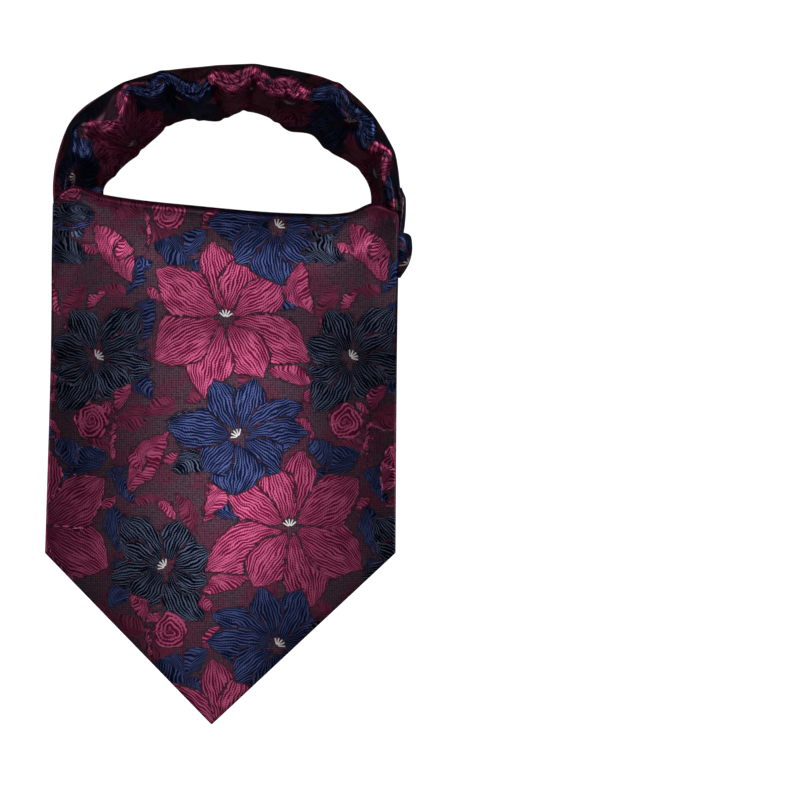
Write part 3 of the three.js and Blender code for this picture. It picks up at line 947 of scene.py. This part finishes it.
def satin_threads(tree, cloth, thread_part):
    """How bright the satin's long threads are, about -1 to 1, and their bare wave."""
    stray = tree.times(tree.noise(cloth, 0.18, 1.0), STRAY)
    thread = tree.plus(tree.attribute("thread"), stray)
    run = tree.attribute("barb")
    whole = tree.calc("COSINE", tree.times(thread, 2 * math.pi))
    halves = tree.calc("COSINE", tree.times(thread, 4 * math.pi))
    wave = tree.plus(whole, tree.times(halves, SPLIT_PART))
    flow = tree.add("ShaderNodeCombineXYZ", {0: thread, 1: tree.times(run, STREAK_RUN)})
    streak = tree.ramp(tree.noise(flow, 1.1, 2.0), 0.3, 0.7, -1.0, 1.0)
    patch = tree.ramp(tree.noise(cloth, 0.15, 1.0), 0.35, 0.65, -0.25, 0.25)
    twill = tree.calc("SINE", tree.times(run, 2 * math.pi / BARB_PITCH))
    long_threads = tree.times(wave, thread_part)
    bright = tree.plus(long_threads, tree.times(streak, STREAK_PART), patch, tree.times(twill, TWILL_PART))
    return bright, wave


def white_stamens(tree):
    """A fan of short white strokes at each flower's heart, 0 to 1."""
    across, up = tree.split(tree.attribute("heart", "Vector"))
    reach = tree.calc("SQRT", tree.plus(tree.times(across, across), tree.times(up, up)))
    angle = tree.calc("ARCTAN2", across, up)
    turned = tree.plus(angle, 40 * STAMEN_SPOKE)
    beside = tree.calc("ABSOLUTE", tree.calc("PINGPONG", turned, STAMEN_SPOKE / 2))
    stroke = tree.ramp(tree.times(reach, beside), 0.16, 0.34, 1.0, 0.0)
    long = tree.times(tree.ramp(reach, 0.5, 0.8), tree.ramp(reach, 3.3, 3.7, 1.0, 0.0))
    opening = tree.ramp(tree.calc("ABSOLUTE", angle), 1.05, 1.1, 1.0, 0.0)
    return tree.times(stroke, long, opening)


def silk(name, metal=0.85, satin_rough=0.28, thread_part=0.8, patterned=True, highlit_rim=False):
    """Jacquard silk: a crosshatched ground with satin motifs of long bright threads."""
    tree = Tree(name)
    cloth = tree.attribute("cloth", "Vector")
    hatch = hatching(tree, cloth)
    blotch = tree.ramp(tree.noise(cloth, 0.09, 3.0), 0.46, 0.62)
    colour = tree.mix(hatch, GROUND_DARK, tree.mix(blotch, GROUND_BRIGHT, GROUND_WINE))
    height = tree.times(hatch, 0.35)
    rough = GROUND_ROUGH
    if patterned:
        bright, wave = satin_threads(tree, cloth, thread_part)
        base = tree.ramp(tree.attribute("tip"), 0.0, 0.5, 0.55, 1.0)
        uneven = tree.ramp(tree.noise(cloth, 0.34, 2.0), 0.3, 0.7, -0.6, 0.6)
        ragged = tree.plus(uneven, tree.times(wave, 0.1))
        depth = {motif: tree.plus(tree.attribute(motif), ragged) for motif in COLOURS}
        # Painted shadow: the ground darkens just outside the satin motifs, as if the raised petals cast
        # shade on it
        edge_shadow = tree.ramp(tree.most(*(depth[motif] for motif in SATIN)), -0.9, -0.1, 0.0, 0.6)
        colour = tree.mix(edge_shadow, colour, PAINTED_EDGE_SHADOW)
        cover = {motif: tree.ramp(depth[motif], -0.12, 0.22) for motif in COLOURS}
        for motif in reversed(COLOURS):
            stripe = tree.times(tree.ramp(bright, *THREAD_RANGE[motif]), base)
            colour = tree.mix(cover[motif], colour, tree.mix(stripe, DARK[motif], BRIGHT[motif]))
            height = tree.mix_value(cover[motif], height, tree.plus(tree.times(stripe, 0.6), 0.4))
        satin = tree.most(*(cover[motif] for motif in SATIN))
        rough = tree.mix_value(satin, GROUND_ROUGH, satin_rough)
        colour = tree.mix(white_stamens(tree), colour, WHITE_THREAD)
    # Painted highlight, partly a rose edge line: a rose line along the rim, made non-metallic so the lamps
    # light it more, standing in for the light caught by the curled edge
    if highlit_rim:
        rim = tree.attribute("rim")
        colour = tree.mix(rim, colour, tree.mix(hatch, GROUND_DARK, RIM_LINE_AND_HIGHLIGHT))
        metal = tree.mix_value(rim, metal, 0.0)
    bump = tree.nodes.new("ShaderNodeBump")
    bump.inputs["Strength"].default_value = BUMP_STRENGTH
    bump.inputs["Distance"].default_value = BUMP_DISTANCE
    tree.feed(bump.inputs["Height"], height)
    tree.set(Base_Color=colour, Normal=bump.outputs[0])
    tree.set(Metallic=metal, Roughness=rough, Specular_IOR_Level=0.06)
    return tree.material


def plain_floor():
    tree = Tree("floor")
    grain = tree.noise(tree.add("ShaderNodeTexCoord", {}, output="Object"), 40.0)
    shade = tree.mix(grain, linear(246, 246, 246), linear(250, 250, 250))
    tree.set(Base_Color=shade, Roughness=0.9, Emission_Color=shade, Emission_Strength=1.0)
    mesh = bpy.data.meshes.new("floor")
    corners = [(x * FLOOR_HALF, y * FLOOR_HALF, 0) for x, y in ((-1, -1), (1, -1), (1, 1), (-1, 1))]
    mesh.from_pydata(corners, [], [(0, 1, 2, 3)])
    mesh.materials.append(tree.material)
    floor = bpy.data.objects.new("floor", mesh)
    floor.visible_diffuse = False
    floor.visible_glossy = False
    bpy.context.scene.collection.objects.link(floor)


def hearts(mesh, flat, centres):
    """Writes each cloth place as seen from the nearest flower's heart, with the stamens opening upwards."""
    local = np.full((len(mesh.vertices), 3), FAR_FROM_HEART)
    nearest = np.full(len(flat), HEART_REACH)
    for x, y, turn in centres:
        shift = flat - (x, y)
        distance = np.hypot(*shift.T)
        near = np.flatnonzero(distance < nearest)
        spin = math.radians(turn - 90)
        local[near, 0] = shift[near] @ (math.cos(spin), math.sin(spin))
        local[near, 1] = shift[near] @ (-math.sin(spin), math.cos(spin))
        nearest[near] = distance[near]
    put_vector(mesh, "heart", local)


def declare(piece, node, material):
    piece.data.materials.append(material)
    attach(piece, "root")
    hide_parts(node)


# Materials
patterned_silk = silk("silk_pattern")
band_silk = silk("silk_band", metal=0.88, satin_rough=0.3, thread_part=0.35, highlit_rim=True)
side_silk = silk("silk_side", metal=0.5, thread_part=0.35)
plain_silk = silk("silk_ground", patterned=False)

# Front blade
inner_columns = np.linspace(LAST_INNER_COLUMN, -LAST_INNER_COLUMN, BLADE_COLUMNS)
columns = np.concatenate([EDGE_COLUMNS, inner_columns, -EDGE_COLUMNS[::-1]])
blade, blade_cloth = blade_grid(columns, BLADE_STEP)
blade_weave, blade_hearts = paint_repeat(blade_cloth)
blade_weave.bud(**CORNER_BUD)
front = walled("front_blade_silk", blade, soft_edges=True, every=18, weave=blade_weave, cloth=blade_cloth)
hearts(front.data, blade_cloth.reshape(-1, 2), blade_hearts)
declare(front, "front_blade", patterned_silk)

# Under blade
under, under_cloth = under_grid(np.linspace(1, -1, UNDER_COLUMNS), UNDER_STEP)
under_weave, under_hearts = paint_repeat(under_cloth)
under_piece = walled("under_blade_silk", under, floor=0, soft_edges=True, every=6,
                     weave=under_weave, cloth=under_cloth)
hearts(under_piece.data, under_cloth.reshape(-1, 2), under_hearts)
declare(under_piece, "under_blade", patterned_silk)

# Neck band
turns = np.linspace(BAND_ROWS[0]["turn"], BAND_ROWS[-1]["turn"], BAND_TURNS)
band = band_grid(turns, BAND_COLUMNS)
crest_column = int(np.argmax(band[BAND_TURNS // 2, :, 2]))
crest_steps = np.linalg.norm(np.diff(band[:, crest_column, :2], axis=0), axis=-1)
crest_run = np.concatenate([[0], np.cumsum(crest_steps)])
section_steps = np.linalg.norm(np.diff(band, axis=1), axis=-1)
section_run = np.concatenate([np.zeros((len(turns), 1)), np.cumsum(section_steps, axis=1)], axis=1)
band_cloth = joined(crest_run[:, None], section_run[:, crest_column:crest_column + 1] - section_run)


def band_along(turn):
    return np.interp(-turn, -turns, crest_run)


band_weave = paint_band(band_cloth, band_along)
band_piece = walled("neck_band_silk", band, floor=0, every=15, weave=band_weave, cloth=band_cloth)
band_hearts = [(band_along(flower["turn"]), -flower["down"], BAND_STAMENS) for flower in BAND_FLOWERS]
hearts(band_piece.data, band_cloth.reshape(-1, 2), band_hearts)
widest = int(np.argmin(rounded(band_section(turns), BAND_COLUMNS)[..., 0].mean(axis=0)))
# Where the painted rim highlight lies: a strip of the section just above the rim
above_rim = (section_run - section_run[:, widest:widest + 1]).ravel()
rim_start = smoothstep(above_rim, RIM_LINE_FROM, RIM_LINE_FROM + 1)
rim_end = smoothstep(above_rim, RIM_LINE_TO - 1.5, RIM_LINE_TO)
rim_highlight_line = np.zeros(len(band_piece.data.vertices))
rim_highlight_line[:above_rim.size] = rim_start * (1 - rim_end)
put(band_piece.data, "rim", rim_highlight_line)
declare(band_piece, "neck_band", band_silk)

# Wrap on the band's right end
wrap_turns = np.linspace(WRAP_FROM, WRAP_TO, WRAP_TURNS)
wrap_band = band_grid(wrap_turns, WRAP_SECTION)[:, :WRAP_COLUMNS]
wrap_out = grid_normals(wrap_band)
wrap_thick = CLOTH * lerp(WRAP_THIN, 1, smoothstep(WRAP_FROM - wrap_turns, 0, WRAP_TAPER))
wrap_face = wrap_band + wrap_out * (GAP + wrap_thick[:, None, None])
wrap_back = wrap_band + wrap_out * GAP
wrap_face[..., 2] = np.maximum(wrap_face[..., 2], 0)
wrap_back[..., 2] = np.maximum(wrap_back[..., 2], 0)
wrap_cloth = wrap_face[..., 1:] + WRAP_CLOTH
wrap_weave, wrap_hearts = paint_repeat(wrap_cloth)
wrap_piece = shell("wrap_upper_silk", wrap_face, wrap_back, weave=wrap_weave, cloth=wrap_cloth)
hearts(wrap_piece.data, wrap_cloth.reshape(-1, 2), wrap_hearts)
declare(wrap_piece, "wrap_upper", side_silk)

# Wrap's turn beside the blade
lobe = lobe_grid(*LOBE_GRID)
lobe_cloth = lobe[..., 1:] + LOBE_CLOTH
lobe_weave, lobe_hearts = paint_repeat(lobe_cloth)
lobe_piece = walled("wrap_lower_silk", lobe, floor=LOBE_LOW, weave=lobe_weave, cloth=lobe_cloth)
hearts(lobe_piece.data, lobe_cloth.reshape(-1, 2), lobe_hearts)
declare(lobe_piece, "wrap_lower", side_silk)

# Half knot
knot = crossing_grid(*CROSSING_GRID)
knot_piece = walled("crossing_silk", knot, wrap=True)
declare(knot_piece, "crossing", plain_silk)

plain_floor()

# Camera, straight above
FRAME_WIDE = 341.9
CAMERA_X = 73.3
CAMERA_Y = -2.35
LENS = 600
SENSOR = 36

camera_data = bpy.data.cameras.new("camera")
camera_data.lens = LENS
camera_data.sensor_width = SENSOR
camera = bpy.data.objects.new("camera", camera_data)
camera.location = (CAMERA_X * MM, CAMERA_Y * MM, FRAME_WIDE * LENS / SENSOR * MM)
bpy.context.scene.collection.objects.link(camera)
bpy.context.scene.camera = camera

# Soft studio lights, in metres and watts
LIGHTS = {
    "key": {"place": (0.002, -0.052, 0.38), "aim": 0, "tilt": 0, "size": (0.06, 0.1), "watts": 0.105},
    "front": {"place": (0, -0.3, 0.38), "aim": 0, "tilt": 40, "size": (0.4, 0.2), "watts": 0.2},
    "back": {"place": (0, 0.42, 0.34), "aim": 180, "tilt": 50, "size": (0.5, 0.2), "watts": 0.3},
    "overhead": {"place": (0, 0.1, 1.6), "aim": 0, "tilt": 0, "size": (1.3, 1.3), "watts": 1},
    "low_front": {"place": (0, -0.5, 0.24), "aim": 0, "tilt": 65, "size": (0.6, 0.2), "watts": 0.22},
    "low_right": {"place": (0.5, 0.1, 0.26), "aim": 90, "tilt": 62, "size": (0.4, 0.2), "watts": 0.8},
    "low_left": {"place": (-0.5, 0.1, 0.26), "aim": -90, "tilt": 62, "size": (0.4, 0.2), "watts": 0.6},
}
WORLD_STRENGTH = 0.015

for name, row in LIGHTS.items():
    light_data = bpy.data.lights.new(name, "AREA")
    light_data.shape = "RECTANGLE"
    light_data.size, light_data.size_y = row["size"]
    light_data.energy = row["watts"]
    light = bpy.data.objects.new(name, light_data)
    light.location = row["place"]
    light.rotation_euler = (math.radians(row["tilt"]), 0, math.radians(row["aim"]))
    light.visible_camera = False
    bpy.context.scene.collection.objects.link(light)

world = bpy.data.worlds.new("studio")
world.use_nodes = True
world.node_tree.nodes["Background"].inputs["Color"].default_value = (1, 1, 1, 1)
world.node_tree.nodes["Background"].inputs["Strength"].default_value = WORLD_STRENGTH
bpy.context.scene.world = world
bpy.context.scene.view_settings.view_transform = "Standard"
